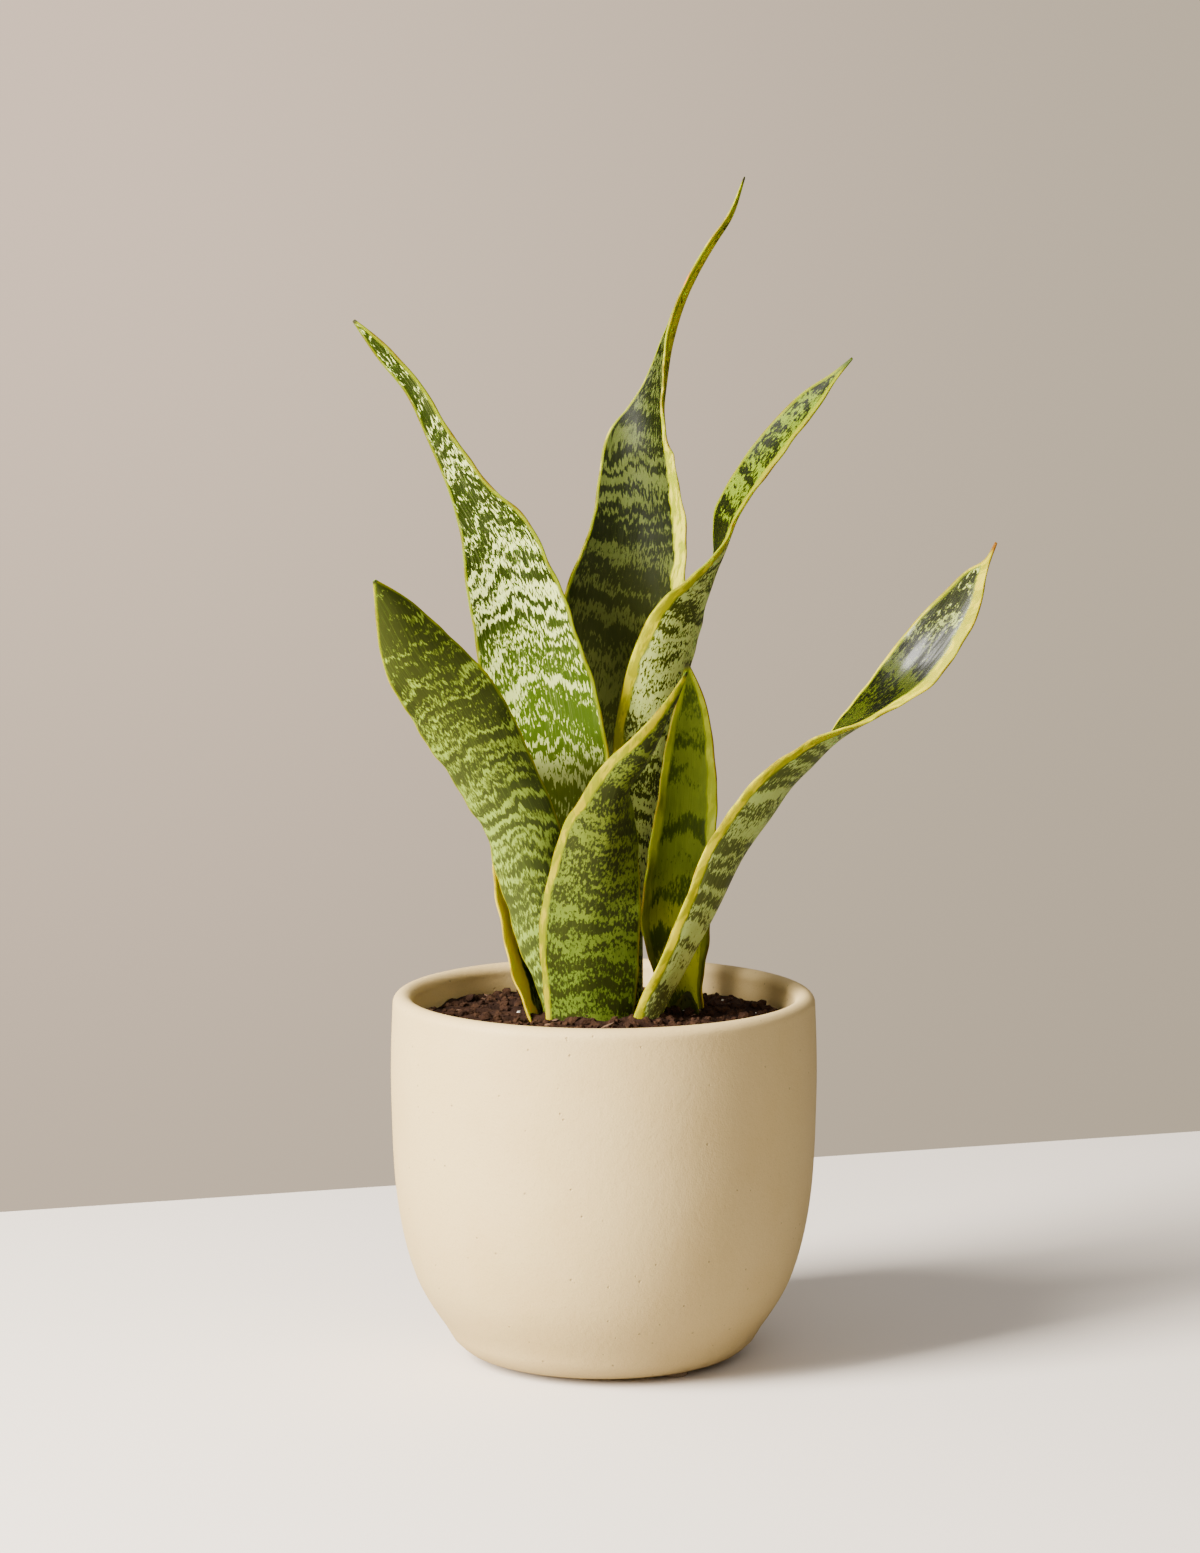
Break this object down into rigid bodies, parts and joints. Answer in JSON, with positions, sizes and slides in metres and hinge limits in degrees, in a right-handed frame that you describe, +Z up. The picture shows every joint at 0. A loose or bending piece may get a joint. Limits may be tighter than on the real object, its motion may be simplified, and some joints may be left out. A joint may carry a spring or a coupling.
{
  "type": "potted snake plant",
  "caption": "Potted snake plant: upright, twisting, banded sword leaves with yellow margins in soil, in a rounded cup-shaped matte ceramic pot on small pads.",
  "frame": {"origin": "on the table plane, under the middle of the whole plant's bounding box; the pot's axis stands at x = -0.0198, y = 0", "axes": "+Z up, along the pot's axis; the picture's front is -Y, and its right is +X"},
  "size_m": [0.193, 0.13, 0.3591],
  "materials": {
    "pot": "matte",
    "soil": "matte",
    "pad": "satin",
    "leaf_left_tall": "satin",
    "leaf_left_front": "satin",
    "leaf_back_tall": "satin",
    "leaf_front": "satin",
    "leaf_right_mid": "satin",
    "leaf_right_back": "satin",
    "leaf_right_low": "satin",
    "sheath": "satin"
  },
  "bodies": {
    "root": {"pot": "pot", "soil": "soil", "pad_front": "pad", "pad_right": "pad", "pad_left": "pad", "leaf_left_tall": "leaf_left_tall", "leaf_left_front": "leaf_left_front", "leaf_back_tall": "leaf_back_tall", "leaf_front": "leaf_front", "leaf_right_mid": "leaf_right_mid", "leaf_right_back": "leaf_right_back", "leaf_right_low": "leaf_right_low", "sheath": "sheath"}
  },
  "joints": []
}
